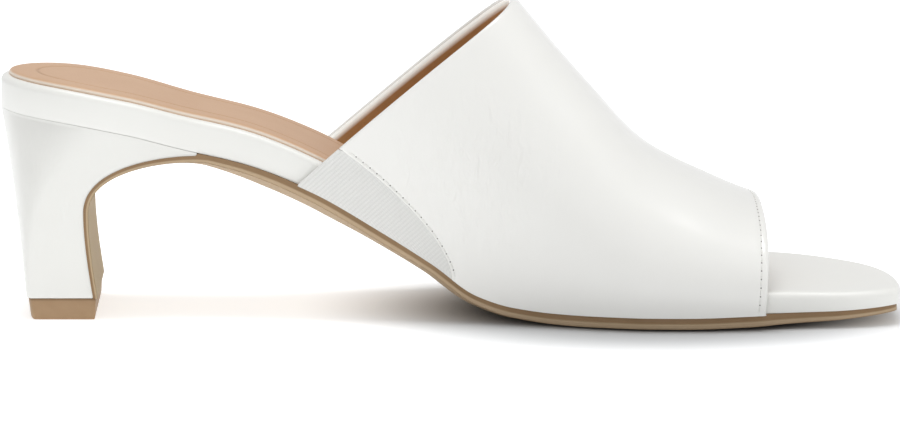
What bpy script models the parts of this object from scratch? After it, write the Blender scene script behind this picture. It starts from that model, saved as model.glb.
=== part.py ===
"""Open-toe mule on a slab heel: the left shoe of a pair, in metres, +Z up.

X runs from heel to toe, Y from the medial (inner) side to the lateral (outer) side, and the floor is
Z = 0. Inside the script a place along the shoe is its distance from the back of the seat. One empty
then carries every piece, so that the world origin lies under the middle of the heel.
"""
import bmesh
import bpy
import numpy as np

MM = 0.001

# Whole shoe
LENGTH = 240 * MM          # back of the seat to the tip of the toe
SEAT_HEIGHT = 54.6 * MM    # floor to the underside of the footbed, at the back of the seat
GAP = 0.3 * MM             # clearance between two pieces that touch on the real shoe

# Footbed and sock
SEAT_WIDTH = 54 * MM
WAIST_WIDTH = 47.5 * MM
BALL_WIDTH = 82.5 * MM
TIP_INSIDE = 27 * MM       # how far the tip of the toe lies to the medial side of the centre line
TOE_SPRING = 1.75 * MM
BED_THICK = 8.8 * MM
BED_ROUND = 2 * MM         # radius of the footbed's top edge
SOCK_THICK = 1.2 * MM
SOCK_INSET = 2.2 * MM
SOCK_LENGTH = 158 * MM
SOCK_END = 12 * MM         # depth of its rounded front end
SOCK_ROUND = 0.4 * MM      # radius of its top edge

# Outsole
TREAD_THICK = 3.6 * MM     # middle of the sole under the ball
SOLE_EDGE = 2.9 * MM       # upright edge of the sole
WAIST_CAMBER = 3.6 * MM    # how much deeper the rounded underside is at the waist than under the ball
FLAP_THICK = 1.2 * MM      # where the sole runs down the front of the heel
SOLE_MARGIN = 1.5 * MM     # how far the sole shows past the footbed under the vamp

# Heel and its tip
TIP_HEIGHT = 5.7 * MM
TIP_BACK = 7.6 * MM        # how far the heel's foot is set in from the back of the seat
TIP_DEPTH = 17.6 * MM      # front to back of the heel's foot, without the sole's flap
TIP_WIDTH = 50 * MM
TIP_CORNER = 2.2 * MM      # rounding of the two rear corners
CORNER_SQUARE = 4.5        # power of that rounding; at the top of the heel it is a circle's, 2
TIP_INSET = 0.5 * MM       # how far the tip stands back from the heel's sides
TIP_TAPER = 0.5 * MM       # how much more it stands back at the floor
HEEL_HOLLOW = 0.36         # how much the back of the heel hollows, as a share of its rake
BREAST_REACH = 56 * MM     # where the sole leaves the front of the heel
HEEL_FLARE = 1.5           # power with which its sides swell out to the footbed; 1 is straight
LEVEL_BUNCHING = 1.7       # power that gathers the levels of its mesh near the top, where its front bends
LIP = 0.5 * MM             # thinnest edge of the heel, at the top of its front

# Upper and gore
WALL = 1.8 * MM
INSTEP_HEIGHT = 84 * MM    # top of the vamp above the floor, at the collar
COLLAR_FOOT = 79.6 * MM    # where the collar line starts on the sole
COLLAR_TOP = 137 * MM      # where it crosses the ridge of the instep
COLLAR_BOW = 1.3 * MM      # how much the collar line bows up on the medial side
LATERAL_DIP = 1.7 * MM     # how much lower it runs on the lateral side
TOE_EDGE = 204.4 * MM      # front edge of the vamp at the sole
TOE_EDGE_BACK = 1.2 * MM   # how far the front edge swings back at the ridge
TOE_EDGE_BEND = 9          # power of that swing; the higher, the more of it lies near the ridge
TOE_EDGE_SLANT = 5 * MM    # how much further back the front edge lies on the lateral side
SLANT_FROM, SLANT_TO = 1.45, 2.4    # angles over the vamp between which it slants
TOE_EDGE_TUCK = 0.8 * MM   # how far the front edge tucks back at the sole
MEDIAL_BULGE = 2 * MM
LATERAL_BULGE = 2.5 * MM
RIDGE_INSIDE = 8 * MM      # how far the ridge lies to the medial side, at the front edge
GORE_TOP = 90.6 * MM       # where the gore's seam meets the collar line
GORE_FOOT = 120.4 * MM     # where the gore's seam meets the sole
SEAM_BEND = 1.6            # power of the seam's curve; 1 is straight
GORE_REACH = 0.93          # share of the seam's height that the gore fills
GORE_SUNK = 0.5 * MM       # outer face of the gore below that of the vamp
GORE_THICK = 1.1 * MM

MEDIAL, LATERAL = -1, 1

# Underside of the footbed: share of the length, share of the fall from seat to ball, share of TOE_SPRING
PROFILE = np.array([
    # along, rise, spring
    (0.00, 1.0000, 0.00),
    (0.07, 0.9655, 0.00),
    (0.14, 0.9040, 0.00),
    (0.21, 0.8130, 0.00),
    (0.28, 0.7290, 0.00),
    (0.35, 0.5960, 0.00),
    (0.42, 0.4080, 0.00),
    (0.48, 0.2320, 0.00),
    (0.53, 0.0720, 0.00),
    (0.57, 0.0200, 0.00),
    (0.62, 0.0015, 0.00),
    (0.65, 0.0000, 0.00),
    (0.75, 0.0000, 0.00),
    (0.85, 0.0000, 0.25),
    (0.92, 0.0000, 0.36),
    (1.00, 0.0000, 1.00),
])

# Plan of the footbed: share of the length, a width, the shares of it on either side of the centre line
PLAN = np.array([
    # along, width, medial, lateral
    (0.0000, SEAT_WIDTH, 0.500, 0.500),
    (0.1125, SEAT_WIDTH, 0.500, 0.500),
    (0.1670, SEAT_WIDTH, 0.472, 0.490),
    (0.2500, WAIST_WIDTH, 0.463, 0.537),
    (0.3500, WAIST_WIDTH, 0.487, 0.600),
    (0.4800, WAIST_WIDTH, 0.552, 0.690),
    (0.5400, BALL_WIDTH, 0.357, 0.430),
    (0.6040, BALL_WIDTH, 0.430, 0.455),
    (0.6670, BALL_WIDTH, 0.503, 0.460),
    (0.7200, BALL_WIDTH, 0.540, 0.460),
    (0.7700, BALL_WIDTH, 0.545, 0.455),
    (0.8550, BALL_WIDTH, 0.515, 0.424),
    (0.8960, BALL_WIDTH, 0.495, 0.410),
    (1.0000, BALL_WIDTH, 0.467, 0.364),
])

# Toe of the plan: where its rounding starts, as a share of the length, and how square it is
TOE_ROUNDING = {MEDIAL: (0.896, 3.0), LATERAL: (0.842, 2.45)}

# Thickness of the footbed, as a share of BED_THICK
BED = np.array([
    # along, thick
    (0.00, 1.00),
    (0.48, 1.00),
    (0.62, 0.84),
    (0.85, 0.66),
    (1.00, 0.48),
])

# Outsole: shares of SOLE_MARGIN, of the thickness under the ball, of WAIST_CAMBER beyond that, and the
# share of the half width over which the underside rounds
SOLE = np.array([
    # along, margin, thick, camber, rounding
    (0.17, 0.15, 0.55, 0.45, 1.00),
    (0.24, 0.20, 0.62, 0.75, 1.00),
    (0.31, 0.25, 0.75, 1.00, 1.00),
    (0.37, 1.00, 0.80, 1.00, 1.00),
    (0.42, 1.00, 0.80, 0.80, 1.00),
    (0.50, 1.00, 0.68, 0.70, 0.80),
    (0.57, 1.00, 0.88, 0.20, 0.30),
    (0.65, 1.00, 1.00, 0.00, 0.12),
    (0.75, 1.00, 1.00, 0.00, 0.12),
    (0.83, 0.70, 1.00, 0.00, 0.12),
    (0.87, -0.10, 0.88, 0.00, 0.12),
    (0.92, -0.75, 0.76, 0.00, 0.12),
    (1.00, -0.90, 0.50, 0.00, 0.12),
])

# Front of the heel, as two cubic arcs from its foot up to where the sole leaves it: shares of the way
# forward and of the way up
BREAST = np.array([
    # forward, up
    (0.000, 0.000),
    (-0.032, 0.156),
    (-0.080, 0.400),
    (-0.080, 0.607),
    (-0.080, 0.955),
    (0.653, 1.034),
    (1.000, 1.000),
])

# Levels of the heel: share of the height at its back, share of the way up its front
HEEL_LEVELS = np.array([
    # back, front
    (0.00, 0.00),
    (0.45, 0.40),
    (0.75, 0.62),
    (0.90, 0.80),
    (1.00, 1.00),
])

# Ridge of the vamp: share of the length, share of INSTEP_HEIGHT. The first rows lie behind the collar
# and only steer the section there.
RIDGE = np.array([
    # along, height
    (0.300, 1.660),
    (0.400, 1.450),
    (0.500, 1.200),
    (0.571, 1.000),
    (0.622, 0.827),
    (0.667, 0.683),
    (0.689, 0.612),
    (0.712, 0.548),
    (0.734, 0.506),
    (0.779, 0.442),
    (0.837, 0.373),
    (0.875, 0.345),
])

# Fullness of the vamp: share of the length, squareness of its arch, shares of its bulge and RIDGE_INSIDE
FULLNESS = np.array([
    # along, square, bulge, ridge
    (0.33, 2.60, 1.00, 0.50),
    (0.57, 2.60, 1.00, 0.50),
    (0.70, 2.45, 0.90, 0.85),
    (0.88, 2.40, 0.70, 1.00),
])


def through(table, column, at):
    """Smooth curve through a table's rows, which never overshoots between two of them."""
    stations, values = table[:, 0], table[:, column]
    step = np.diff(stations)
    slope = np.diff(values) / step
    before, after = slope[:-1], slope[1:]
    one_way = before * after > 0
    tangent = np.concatenate([slope[:1], np.zeros(len(slope) - 1), slope[-1:]])
    tangent[1:-1][one_way] = 2 * before[one_way] * after[one_way] / (before + after)[one_way]
    row = np.clip(np.searchsorted(stations, at, side="right") - 1, 0, len(step) - 1)
    t = np.clip((at - stations[row]) / step[row], 0, 1)
    ends = values[row] * (1 + 2 * t) * (1 - t) ** 2 + values[row + 1] * t * t * (3 - 2 * t)
    return ends + step[row] * t * (1 - t) * (tangent[row] * (1 - t) - tangent[row + 1] * t)


def bed_under(x):
    """Height of the footbed's underside, a distance x along the shoe."""
    ball = TREAD_THICK + GAP
    rise = through(PROFILE, 1, x / LENGTH) * (SEAT_HEIGHT - ball)
    return ball + rise + through(PROFILE, 2, x / LENGTH) * TOE_SPRING


def bed_top(x):
    """Height of the footbed's top face."""
    return bed_under(x) + through(BED, 1, x / LENGTH) * BED_THICK


def straight_side(x, side):
    """Half width of the plan before the seat and the toe are rounded."""
    widths = np.column_stack([PLAN[:, 0], PLAN[:, 1] * PLAN[:, 2 if side == MEDIAL else 3]])
    return through(widths, 1, x / LENGTH)


def half_width(x, side, grow=0.0):
    """Centre line to the edge of the plan on one side, with the plan grown outwards by a margin."""
    seat = SEAT_WIDTH / 2
    back = np.clip((seat - x) / (seat + grow), 0, 1)
    wide = (straight_side(x, side) + grow) * np.sqrt(1 - back ** 2)
    start, square = TOE_ROUNDING[side]
    toe = np.clip((x - start * LENGTH) / (LENGTH + grow - start * LENGTH), 0, 1)
    tip = -side * TIP_INSIDE
    return tip + (wide - tip) * (1 - toe ** square) ** (1 / square)


def closed_solid(name, points, faces, material):
    """Object from points and faces, with doubles merged and every face pointing out."""
    mesh = bpy.data.meshes.new(name)
    shape = bmesh.new()
    corners = [shape.verts.new(point) for point in points]
    for face in faces:
        shape.faces.new([corners[i] for i in face])
    bmesh.ops.remove_doubles(shape, verts=shape.verts, dist=1e-6)
    bmesh.ops.recalc_face_normals(shape, faces=shape.faces)
    shape.to_mesh(mesh)
    shape.free()
    mesh.shade_smooth()
    mesh.set_sharp_from_angle(angle=np.radians(35))
    mesh.materials.append(material)
    piece = bpy.data.objects.new(name, mesh)
    shoe.objects.link(piece)
    piece.parent = carrier
    return piece


def loft(name, rings, material, ends=True):
    """Solid through closed rings of equal count, shaped (ring, point, xyz), with a face on each end.

    Without those faces the first and the last ring must each have run in to a line of their own.
    """
    count, around = rings.shape[:2]
    index = np.arange(count * around).reshape(count, around)
    here, ahead = index[:-1], index[1:]
    quads = np.stack([here, np.roll(here, -1, 1), np.roll(ahead, -1, 1), ahead], -1).reshape(-1, 4)
    faces = quads.tolist()
    if ends:
        faces += [index[0][::-1].tolist(), index[-1].tolist()]
    return closed_solid(name, rings.reshape(-1, 3), faces, material)


def finish(name, colour, roughness, coat=0.0):
    """Principled material of one piece."""
    material = bpy.data.materials.new(name)
    material.use_nodes = True
    shader = material.node_tree.nodes["Principled BSDF"]
    shader.inputs["Base Color"].default_value = (*colour, 1)
    shader.inputs["Roughness"].default_value = roughness
    shader.inputs["Metallic"].default_value = 0
    shader.inputs["Coat Weight"].default_value = coat
    material.diffuse_color = (*colour, 1)
    return material


def plan_loop(end, grow, end_round):
    """Closed outline of the plan from the seat's back to a distance, as (point, xy), medial side first.

    The seat and the front end are stepped by angle, so that both are round, and the sides evenly.
    """
    seat = SEAT_WIDTH / 2
    angle = np.linspace(0, np.pi / 2, 9)
    sides = []
    for side in (MEDIAL, LATERAL):
        if end_round is None:
            start, square = TOE_ROUNDING[side]
            start = start * LENGTH
        else:
            start, square = end - end_round, 2
        back = seat - (seat + grow) * np.cos(angle)
        middle = np.linspace(seat, start, 34)[1:-1]
        front = start + (end - start) * np.sin(angle) ** (2 / square)
        x = np.concatenate([back, middle, front])
        y = side * half_width(x, side, grow)
        if end_round is not None:
            y = y * np.concatenate([np.ones(len(back) + len(middle)), np.cos(angle)])
        sides.append(np.column_stack([x, y]))
    medial, lateral = sides
    return np.concatenate([medial, lateral[-2:0:-1]])


def inset(loop, distance):
    """Loop moved inwards along its own normals."""
    along = np.roll(loop, -1, 0) - np.roll(loop, 1, 0)
    inward = np.column_stack([-along[:, 1], along[:, 0]])
    inward /= np.linalg.norm(inward, axis=1, keepdims=True)
    return loop + inward * distance


def slab(name, loop, under, top, rounding, material):
    """Slab over a plan: an upright side, a rounded top edge, and two faces that run in to a spine."""
    half = len(loop) // 2
    partner = (-np.arange(len(loop))) % len(loop)
    middle = (loop + loop[partner]) / 2
    spine_x = np.clip(middle[:, 0], loop[0, 0] + 0.3 * SEAT_WIDTH, loop[half, 0] - 0.3 * SEAT_WIDTH)
    spine = np.column_stack([spine_x, np.interp(spine_x, middle[:half + 1, 0], middle[:half + 1, 1])])
    turn = np.linspace(0, np.pi / 2, 4)
    rows = [(spine, under, 0), ((spine + loop) / 2, under, 0), (loop, under, 0)]
    for angle in turn:
        rows.append((inset(loop, rounding * (1 - np.cos(angle))), top, -rounding * (1 - np.sin(angle))))
    crest = rows[-1][0]
    rows += [((spine + crest) / 2, top, 0), (spine, top, 0)]
    rings = np.array([np.column_stack([plan, height(plan[:, 0]) + lift]) for plan, height, lift in rows])
    return loft(name, rings, material, ends=False)


def heel_back(z):
    """How far the back of the heel is set in from the back of the seat, at a height."""
    up = z / (SEAT_HEIGHT - GAP)
    return TIP_BACK * (1 - up) * (1 + HEEL_HOLLOW * up)


def heel_side(x, z, side):
    """Half width of the heel: its foot's at the bottom, and the footbed's at the top."""
    foot = TIP_HEIGHT + GAP
    up = np.clip((z - foot) / (bed_under(x) - GAP - foot), 0, 1)
    return TIP_WIDTH / 2 + (straight_side(x, side) - TIP_WIDTH / 2) * up ** HEEL_FLARE


def breast_line(share):
    """Line (x, z) of the sole's inner face down the heel's front, at shares of its length from the foot."""
    foot = np.array([TIP_BACK + TIP_DEPTH, TIP_HEIGHT + GAP])
    reach = np.array([BREAST_REACH, bed_under(BREAST_REACH) - GAP])
    a, b, c, d, e, f, g = foot + BREAST * (reach - foot)
    t = np.linspace(0, 1, 60)[:, None]
    lower = a * (1 - t) ** 3 + 3 * b * t * (1 - t) ** 2 + 3 * c * t ** 2 * (1 - t) + d * t ** 3
    upper = d * (1 - t) ** 3 + 3 * e * t * (1 - t) ** 2 + 3 * f * t ** 2 * (1 - t) + g * t ** 3
    line = np.concatenate([lower, upper[1:]])
    run = np.concatenate([[0], np.cumsum(np.linalg.norm(np.diff(line, axis=0), axis=1))])
    at = np.asarray(share) * run[-1]
    return np.column_stack([np.interp(at, run, line[:, 0]), np.interp(at, run, line[:, 1])])


def outward(line):
    """Unit normals of a line (x, z) from the heel's foot to the toe, pointing to the floor's side of it."""
    along = np.gradient(line, axis=0)
    normal = np.column_stack([along[:, 1], -along[:, 0]])
    return normal / np.linalg.norm(normal, axis=1, keepdims=True)


def heel_ring(back, front, corner, square, height, side_at):
    """Closed level of the heel (point, xyz): round at its two rear corners and straight across the front.

    A corner is a quarter of a superellipse, (1 - d / corner)^square + (y / half)^square = 1, where d is the
    distance from the back.
    """
    angle = np.linspace(0, np.pi / 2, 8)
    rounded = back + corner * (1 - np.cos(angle) ** (2 / square))
    x = np.concatenate([rounded, np.linspace(back + corner, front, 6)[1:]])
    part = np.concatenate([np.sin(angle) ** (2 / square), np.ones(5)])
    z = height(x)
    medial = np.column_stack([x, -part * side_at(x, z, MEDIAL), z])
    lateral = np.column_stack([x, part * side_at(x, z, LATERAL), z])
    across = np.linspace(medial[-1], lateral[-1], 5)[1:-1]
    return np.concatenate([medial, across, lateral[:0:-1]])


def heel():
    """Slab heel between its tip and the footbed, with the sole's flap down its front."""
    shares = np.linspace(0, 1, 240)
    line = breast_line(shares)
    front_line = line - outward(line) * GAP
    seat = bed_under(line[:, 0]) - GAP
    lip = np.argmax(seat - front_line[:, 1] < LIP)
    foot = TIP_HEIGHT + GAP
    crest = bed_under(0.0) - GAP - LIP
    rings = []
    for level in 1 - (1 - np.linspace(0, 1, 24)) ** LEVEL_BUNCHING:
        share = through(HEEL_LEVELS, 1, level) * shares[lip]
        front = np.array([np.interp(share, shares, front_line[:, k]) for k in (0, 1)])
        z_back = foot + (crest - foot) * level
        back = heel_back(z_back)
        corner = TIP_CORNER + (SEAT_WIDTH / 2 - TIP_CORNER) * level ** 2
        if level == 0:
            front[1] = foot

        def arch(x):
            return bed_under(x) - GAP - LIP - crest - (seat[lip] - LIP - crest) * x / line[lip, 0]

        def height(x):
            forward = (x - back) / (front[0] - back)
            return (z_back + (front[1] - z_back) * forward
                    + level ** 4 * (arch(x) - arch(front[0]) * forward))

        square = CORNER_SQUARE + (2 - CORNER_SQUARE) * level
        rings.append(heel_ring(back, front[0], corner, square, height, heel_side))
    rings.append(rings[-1] + [0, 0, LIP])
    return loft("heel", np.array(rings), finish("heel_white", (0.80, 0.80, 0.77), 0.25, 0.3))


def top_piece():
    """Wearing tip: covers the foot of the heel and the end of the sole's flap."""
    rings = []
    for up, taper in ((0, 1), (0.08, 0.5), (1, 0)):
        z = up * TIP_HEIGHT
        inset_here = TIP_INSET + taper * TIP_TAPER
        back = heel_back(z) + inset_here
        front = TIP_BACK + TIP_DEPTH + FLAP_THICK - inset_here
        half = TIP_WIDTH / 2 - inset_here
        rings.append(heel_ring(back, front, TIP_CORNER, CORNER_SQUARE,
                               lambda x: np.full(len(x), z), lambda x, z, side: half))
    return loft("top_piece", np.array(rings), finish("tip_tan", (0.37, 0.24, 0.12), 0.5))


def outsole():
    """Sole from the toe up the waist, then down the front of the heel as its flap."""
    margin_end = SOLE[-1, 1] * SOLE_MARGIN
    tip = LENGTH + margin_end
    start = TOE_ROUNDING[LATERAL][0] * LENGTH
    last_turn = 0.47 * np.pi    # just short of a right angle, so that the last section keeps some width
    toe = start + (tip - start) * np.sin(np.linspace(0, last_turn, 14))
    waist = np.linspace(BREAST_REACH, start, 30)
    flap = breast_line(np.linspace(0, 1, 22))
    x = np.concatenate([waist[1:-1], toe])
    line = np.concatenate([flap, np.column_stack([x, bed_under(x) - GAP])])
    normal = outward(line)
    normal[0] = (1, 0)
    x = line[:, 0]
    margin, thick, camber, rounding = (through(SOLE, column, x / LENGTH) for column in (1, 2, 3, 4))
    down = np.ones(len(x))
    down[:len(flap)] = np.linspace(0, 1, len(flap))
    edge = FLAP_THICK + (SOLE_EDGE * thick - FLAP_THICK) * down
    camber = (camber * WAIST_CAMBER + (TREAD_THICK - SOLE_EDGE) * thick) * down ** 2
    across = np.array([1, 0.95, 0.87, 0.7, 0.4, 0])
    across = np.concatenate([-across, across[-2::-1]])
    rings = []
    for i in range(len(x)):
        grow = margin[i] * SOLE_MARGIN
        edges = []
        for side in (MEDIAL, LATERAL):
            if i < len(flap):
                edges.append(side * (heel_side(x[i], line[i, 1], side) + grow))
            else:
                edges.append(side * half_width(x[i], side, grow))
        middle, half = np.mean(edges), (edges[1] - edges[0]) / 2
        round_part = np.clip((1 - np.abs(across)) / rounding[i], 0, 1)
        depth = edge[i] + camber[i] * (1 - (1 - round_part) ** 2)
        outer = line[i] + depth[:, None] * normal[i]
        inner = np.repeat(line[i][None], 3, 0)
        plan = middle + half * np.concatenate([across, [1, 0, -1]])
        side_view = np.concatenate([outer, inner])
        rings.append(np.column_stack([side_view[:, 0], plan, side_view[:, 1]]))
    return loft("outsole", np.array(rings), finish("sole_tan", (0.38, 0.26, 0.15), 0.45))


def skin(x, turn):
    """Outer surface of the vamp at a place along the shoe and an angle over it, 0 medial to pi lateral.

    A section is half a superellipse from sole to sole, with its ridge to the medial side of the middle
    and each side bulging out by a parabola of its height.
    """
    square = through(FULLNESS, 1, x / LENGTH)
    up = np.sin(turn) ** (2 / square)
    out = np.abs(np.cos(turn)) ** (2 / square)
    side = np.where(turn < np.pi / 2, MEDIAL, LATERAL)
    base = bed_under(x)
    z = base + (through(RIDGE, 1, x / LENGTH) * INSTEP_HEIGHT - base) * up
    ridge = -RIDGE_INSIDE * through(FULLNESS, 3, x / LENGTH)
    clear = GAP + WALL
    edge = np.where(side == MEDIAL, half_width(x, MEDIAL, clear), half_width(x, LATERAL, clear))
    bulge = np.where(side == MEDIAL, MEDIAL_BULGE, LATERAL_BULGE) * through(FULLNESS, 2, x / LENGTH)
    y = ridge + side * ((edge - side * ridge) * out + bulge * 4 * up * (1 - up))
    return np.stack([x, y, z], -1)


def below_skin(x, turn, depth):
    """Points a depth inside the vamp's outer surface, level with the sole along its two lower edges."""
    step_x = 0.1 * MM
    step_turn = 0.002
    ahead = skin(x + step_x, turn) - skin(x - step_x, turn)
    over = skin(x, np.clip(turn + step_turn, 0, np.pi)) - skin(x, np.clip(turn - step_turn, 0, np.pi))
    normal = np.cross(ahead, over)
    normal /= np.linalg.norm(normal, axis=-1, keepdims=True)
    points = skin(x, turn) - normal * depth
    foot = (turn <= 0) | (turn >= np.pi)
    points[..., 2] = np.where(foot, bed_under(x), np.maximum(points[..., 2], bed_under(x)))
    points[..., 0] = np.where(foot, x, points[..., 0])
    return points


def turn_at(x, z):
    """Angle over the vamp, on the medial side, at which its surface reaches a height."""
    base = bed_under(x)
    up = np.clip((z - base) / (through(RIDGE, 1, x / LENGTH) * INSTEP_HEIGHT - base), 0, 1)
    return np.arcsin(up ** (through(FULLNESS, 1, x / LENGTH) / 2))


def collar_height(x, side):
    """Height of the collar line, which rises from the sole to the ridge."""
    share = (x - COLLAR_FOOT) / (COLLAR_TOP - COLLAR_FOOT)
    foot = bed_under(COLLAR_FOOT)
    top = through(RIDGE, 1, COLLAR_TOP / LENGTH) * INSTEP_HEIGHT
    bow = COLLAR_BOW - (LATERAL_DIP if side == LATERAL else 0)
    return foot + (top - foot) * share + bow * 4 * share * (1 - share)


def seam(share):
    """Gore's seam, as places and angles, at shares of the height from the sole to the collar line."""
    top = collar_height(GORE_TOP, MEDIAL)
    foot = bed_under(GORE_FOOT)
    x = GORE_TOP + (GORE_FOOT - GORE_TOP) * (1 - share ** SEAM_BEND)
    return x, turn_at(x, foot + (top - foot) * share)


def evenly(x, turn, count):
    """Curve on the vamp, given as places and angles, resampled into points an equal distance apart."""
    run = np.linalg.norm(np.diff(skin(x, turn), axis=0), axis=1)
    run = np.concatenate([[0], np.cumsum(run)])
    at = np.linspace(0, run[-1], count)
    return np.interp(at, run, x), np.interp(at, run, turn)


def between(rear, front, count):
    """Grid of places and angles between a rear and a front curve of equal count."""
    share = np.linspace(0, 1, count)
    return [a[:, None] * (1 - share) + b[:, None] * share for a, b in zip(rear, front)]


def wall(name, outer, inner, material):
    """Closed wall between an outer and an inner grid of points, with its four rims."""
    rows, columns = outer.shape[:2]
    index = np.arange(rows * columns).reshape(rows, columns)
    under = index + rows * columns
    faces = [np.stack([index[:-1, :-1], index[1:, :-1], index[1:, 1:], index[:-1, 1:]], -1),
             np.stack([under[:-1, :-1], under[:-1, 1:], under[1:, 1:], under[1:, :-1]], -1)]
    faces = [block.reshape(-1, 4) for block in faces]
    rim = np.concatenate([index[:, 0], index[-1, 1:], index[-2::-1, -1], index[0, -2::-1]])
    rim_under = rim + rows * columns
    faces.append(np.stack([rim[:-1], rim[1:], rim_under[1:], rim_under[:-1]], -1))
    points = np.concatenate([outer.reshape(-1, 3), inner.reshape(-1, 3)])
    return closed_solid(name, points, np.concatenate(faces).tolist(), material)


def upper():
    """Vamp: one wall from the collar line and the gore's seam to the open toe."""
    sweep = np.sin(np.linspace(0, np.pi / 2, 40))
    medial = GORE_TOP + (COLLAR_TOP - GORE_TOP) * sweep
    lateral = (COLLAR_FOOT + (COLLAR_TOP - COLLAR_FOOT) * sweep)[-2::-1]
    collar_x = np.concatenate([medial, lateral])
    collar_turn = np.concatenate([turn_at(medial, collar_height(medial, MEDIAL)),
                                  np.pi - turn_at(lateral, collar_height(lateral, LATERAL))])
    seam_part = evenly(*seam(np.linspace(0, 1, 40)), 12)
    collar_part = evenly(collar_x, collar_turn, 36)
    rear = [np.concatenate([a[:-1], b]) for a, b in zip(seam_part, collar_part)]
    turn = np.linspace(0, np.pi, 120)
    up = np.sin(turn) ** (2 / FULLNESS[-1, 1])
    slant = np.clip((turn - SLANT_FROM) / (SLANT_TO - SLANT_FROM), 0, 1)
    slant = TOE_EDGE_SLANT * slant * slant * (3 - 2 * slant)
    tuck = TOE_EDGE_TUCK * (1 - up) ** 3
    front = evenly(TOE_EDGE - TOE_EDGE_BACK * up ** TOE_EDGE_BEND - slant - tuck, turn, len(rear[0]))
    x, turn = between(rear, front, 22)
    turn[0], turn[-1] = 0, np.pi
    white = finish("vamp_white", (0.82, 0.82, 0.79), 0.25, 0.4)
    return wall("upper", skin(x, turn), below_skin(x, turn, WALL), white)


def gore():
    """Elastic panel between the collar line, the seam and the sole, a little below the vamp's face."""
    share = np.linspace(0, GORE_REACH, 14)
    rear_x = COLLAR_FOOT + (GORE_TOP - COLLAR_FOOT) * share
    rear = [rear_x, turn_at(rear_x, collar_height(rear_x, MEDIAL))]
    seam_x, _ = seam(share)
    top = collar_height(GORE_TOP, MEDIAL)
    foot = bed_under(GORE_FOOT)
    front_x = seam_x - 2 * GAP
    front = [front_x, turn_at(front_x, foot + (top - foot) * share)]
    x, turn = between(rear, front, 8)
    turn[0] = 0
    outer = below_skin(x, turn, GORE_SUNK)
    inner = below_skin(x, turn, GORE_SUNK + GORE_THICK)
    return wall("gore", outer, inner, finish("gore_white", (0.78, 0.78, 0.75), 0.7))


for leftover in list(bpy.data.objects):
    bpy.data.objects.remove(leftover)
shoe = bpy.data.collections.new("mule_shoe")
bpy.context.scene.collection.children.link(shoe)
carrier = bpy.data.objects.new("under_the_heel", None)
shoe.objects.link(carrier)
carrier.location.x = -(TIP_BACK + (TIP_DEPTH + FLAP_THICK) / 2)

outsole()
heel()
top_piece()
slab("footbed", plan_loop(LENGTH, 0.0, None), bed_under, bed_top, BED_ROUND,
     finish("footbed_white", (0.80, 0.80, 0.77), 0.3, 0.3))
slab("sock", plan_loop(SOCK_LENGTH, -SOCK_INSET, SOCK_END), lambda x: bed_top(x) + GAP,
     lambda x: bed_top(x) + GAP + SOCK_THICK, SOCK_ROUND, finish("sock_tan", (0.60, 0.44, 0.31), 0.55))
upper()
gore()
bpy.context.view_layer.update()
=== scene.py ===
"""Open-toe mule on a slab heel, dressed for the camera: the left shoe of a pair, in metres, +Z up.

X runs from heel to toe and Y from the medial (inner) side to the lateral (outer) side. Shapes are worked
out at a distance along the shoe from the back of the seat, and moved under the heel as they become pieces.
"""

import bmesh
import bpy
import numpy as np
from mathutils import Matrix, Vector


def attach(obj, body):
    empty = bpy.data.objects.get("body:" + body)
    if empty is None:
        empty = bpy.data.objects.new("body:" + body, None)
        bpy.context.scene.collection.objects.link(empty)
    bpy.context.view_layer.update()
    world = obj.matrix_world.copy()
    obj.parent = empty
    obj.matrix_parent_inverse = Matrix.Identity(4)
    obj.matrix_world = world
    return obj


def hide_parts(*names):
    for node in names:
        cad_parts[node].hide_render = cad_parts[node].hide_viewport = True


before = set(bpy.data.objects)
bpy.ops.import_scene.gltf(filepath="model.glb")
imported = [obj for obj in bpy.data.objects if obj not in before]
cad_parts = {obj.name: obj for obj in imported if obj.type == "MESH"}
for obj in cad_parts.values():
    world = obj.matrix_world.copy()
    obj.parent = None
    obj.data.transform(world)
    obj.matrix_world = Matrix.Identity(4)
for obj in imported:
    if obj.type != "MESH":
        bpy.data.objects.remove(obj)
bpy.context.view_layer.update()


# Camera, floor and light
# A long lens looks from the medial side, eight degrees above the level, over a white floor that runs up to
# white surroundings. One wide soft light hangs above, a fill without highlights stands in front, and a
# weak light beyond the toe.
MM = 0.001
VIEW_WIDTH = 241.3 * MM
VIEW_CENTRE = np.array([103.1, 0, 23.6]) * MM
CAMERA_AWAY = 2.6
CAMERA_ABOVE = np.radians(8)
SENSOR = 36.0

camera = bpy.data.objects.new("camera", bpy.data.cameras.new("camera"))
bpy.context.scene.collection.objects.link(camera)
camera.data.sensor_width = SENSOR
camera.data.lens = SENSOR * CAMERA_AWAY / VIEW_WIDTH
camera.data.clip_start, camera.data.clip_end = 0.1, 50
camera.location = VIEW_CENTRE + CAMERA_AWAY * np.array([0, -np.cos(CAMERA_ABOVE), np.sin(CAMERA_ABOVE)])
camera.rotation_euler = (np.pi / 2 - CAMERA_ABOVE, 0, 0)
bpy.context.scene.camera = camera
bpy.context.scene.view_settings.view_transform = "Standard"


def soft_light(name, place, aim, size, power, mirrored=True):
    """Oblong soft light at a place, facing a point. One that isn't mirrored adds no highlights."""
    lamp = bpy.data.lights.new(name, "AREA")
    lamp.shape = "RECTANGLE"
    lamp.size, lamp.size_y = size
    lamp.energy = power
    light = bpy.data.objects.new(name, lamp)
    bpy.context.scene.collection.objects.link(light)
    light.location = place
    light.rotation_euler = (Vector(place) - Vector(aim)).to_track_quat("Z", "Y").to_euler()
    light.visible_glossy = mirrored


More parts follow.
